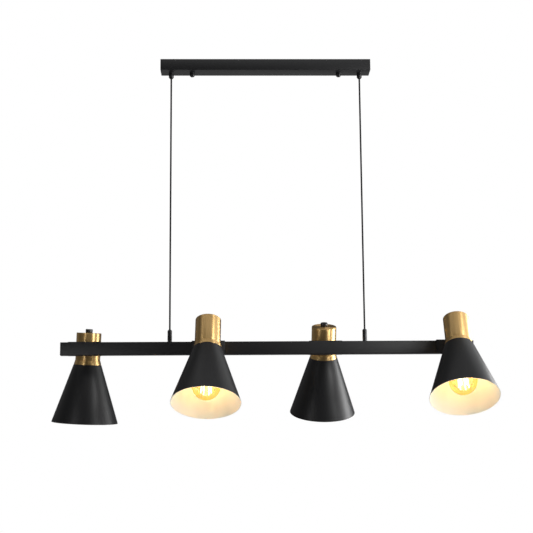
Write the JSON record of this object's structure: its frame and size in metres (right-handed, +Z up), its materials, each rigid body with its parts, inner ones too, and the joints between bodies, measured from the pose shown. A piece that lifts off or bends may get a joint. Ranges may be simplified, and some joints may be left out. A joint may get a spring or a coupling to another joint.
{
  "type": "pool table lamp",
  "caption": "Linear pendant lamp for a pool table: a bar on two suspension cables under a ceiling canopy, with tilting spot heads in black and brass along both sides.",
  "frame": {"origin": "middle of the ceiling plane, between the two ceiling screw slots, on top of the ceiling bracket", "axes": "+X along the bar, +Z up, +Y across the bar; the lamp hangs at negative Z"},
  "size_m": [1.0094, 0.4237, 0.8611],
  "materials": {
    "black_powder_coat": "fine satin powder coat, near black",
    "zinc_plated_steel": "bright zinc plate",
    "black_nickel_fittings": "semi-gloss black turned metal",
    "terminal_plastic": "matt white moulding",
    "lead_sheath": "smooth insulated lead",
    "cable_braid": "black woven textile braid",
    "brushed_brass": "fine vertical brushing under clear lacquer",
    "holder_plastic": "white glazed lamp holder",
    "shade_enamel": "satin black outside, matt white inside",
    "shade_lining": "matt white coat inside the shades",
    "bulb_cap_metal": "stamped screw cap",
    "amber_glass": "clear amber-tinted glass",
    "lit_filament": "lit filament sticks on a glass stem"
  },
  "bodies": {
    "canopy": {"canopy_cover": "black_powder_coat", "ceiling_bracket": "zinc_plated_steel", "cap_nuts": "black_nickel_fittings", "upper_gland_bodies": "black_nickel_fittings", "upper_gland_nuts": "zinc_plated_steel", "terminal_block": "terminal_plastic", "canopy_leads": "lead_sheath"},
    "suspension": {"cable_left": "cable_braid", "cable_right": "cable_braid"},
    "bar": {"bar_tube": "black_powder_coat", "bar_end_caps": "black_powder_coat", "lower_gland_bodies": "black_nickel_fittings", "lower_gland_nuts": "zinc_plated_steel", "saddle_plates": "black_powder_coat", "swivel_bushes": "zinc_plated_steel", "bar_leads": "lead_sheath"},
    "swivel_1": {"head_1_swivel_fork": "black_powder_coat", "head_1_hinge_screw": "black_nickel_fittings"},
    "lamp_1": {"head_1_arm": "black_powder_coat", "head_1_cup": "brushed_brass", "head_1_collar": "brushed_brass", "head_1_knob": "black_nickel_fittings", "head_1_lamp_holder": "holder_plastic", "head_1_shade": "shade_enamel", "head_1_bulb_cap": "bulb_cap_metal", "head_1_bulb_glass": "amber_glass", "head_1_filament": "lit_filament"},
    "swivel_2": {"head_2_swivel_fork": "black_powder_coat", "head_2_hinge_screw": "black_nickel_fittings"},
    "lamp_2": {"head_2_arm": "black_powder_coat", "head_2_cup": "brushed_brass", "head_2_collar": "brushed_brass", "head_2_knob": "black_nickel_fittings", "head_2_lamp_holder": "holder_plastic", "head_2_shade": "shade_enamel", "head_2_bulb_cap": "bulb_cap_metal", "head_2_bulb_glass": "amber_glass", "head_2_filament": "lit_filament"},
    "swivel_3": {"head_3_swivel_fork": "black_powder_coat", "head_3_hinge_screw": "black_nickel_fittings"},
    "lamp_3": {"head_3_arm": "black_powder_coat", "head_3_cup": "brushed_brass", "head_3_collar": "brushed_brass", "head_3_knob": "black_nickel_fittings", "head_3_lamp_holder": "holder_plastic", "head_3_shade": "shade_enamel", "head_3_bulb_cap": "bulb_cap_metal", "head_3_bulb_glass": "amber_glass", "head_3_filament": "lit_filament"},
    "swivel_4": {"head_4_swivel_fork": "black_powder_coat", "head_4_hinge_screw": "black_nickel_fittings"},
    "lamp_4": {"head_4_arm": "black_powder_coat", "head_4_cup": "brushed_brass", "head_4_collar": "brushed_brass", "head_4_knob": "black_nickel_fittings", "head_4_lamp_holder": "holder_plastic", "head_4_shade": "shade_enamel", "head_4_bulb_cap": "bulb_cap_metal", "head_4_bulb_glass": "amber_glass", "head_4_filament": "lit_filament"}
  },
  "joints": [
    {"name": "suspension_swing", "type": "hinge", "parent": "canopy", "child": "suspension", "pos_m": [0, 0, -0.0415], "axis": [1, 0, 0], "range_deg": [-15, 15]},
    {"name": "height_adjust", "type": "slide", "parent": "suspension", "child": "bar", "axis": [0, 0, 1], "range_m": [0, 0.35], "deforming": ["cable_left", "cable_right"]},
    {"name": "head_1_swivel", "type": "hinge", "parent": "bar", "child": "swivel_1", "pos_m": [-0.421, 0.022, -0.689], "axis": [0, 1, 0], "range_deg": [-32.7, 27.3]},
    {"name": "head_1_tilt", "type": "hinge", "parent": "swivel_1", "child": "lamp_1", "pos_m": [-0.421, 0.022, -0.689], "axis": [0.9989, 0, -0.0471], "range_deg": [-6.8, 78.2]},
    {"name": "head_2_swivel", "type": "hinge", "parent": "bar", "child": "swivel_2", "pos_m": [-0.136, -0.022, -0.689], "axis": [0, 1, 0], "range_deg": [-31, 29]},
    {"name": "head_2_tilt", "type": "hinge", "parent": "swivel_2", "child": "lamp_2", "pos_m": [-0.136, -0.022, -0.689], "axis": [-0.9998, 0, 0.0175], "range_deg": [-23.5, 61.5]},
    {"name": "head_3_swivel", "type": "hinge", "parent": "bar", "child": "swivel_3", "pos_m": [0.1345, 0.022, -0.689], "axis": [0, 1, 0], "range_deg": [-30.6, 29.4]},
    {"name": "head_3_tilt", "type": "hinge", "parent": "swivel_3", "child": "lamp_3", "pos_m": [0.1345, 0.022, -0.689], "axis": [0.9999, 0, -0.0105], "range_deg": [-21.3, 63.7]},
    {"name": "head_4_swivel", "type": "hinge", "parent": "bar", "child": "swivel_4", "pos_m": [0.4275, -0.022, -0.689], "axis": [0, 1, 0], "range_deg": [-30.7, 29.3]},
    {"name": "head_4_tilt", "type": "hinge", "parent": "swivel_4", "child": "lamp_4", "pos_m": [0.4275, -0.022, -0.689], "axis": [-0.9999, 0, 0.0122], "range_deg": [-27.7, 57.3]}
  ]
}
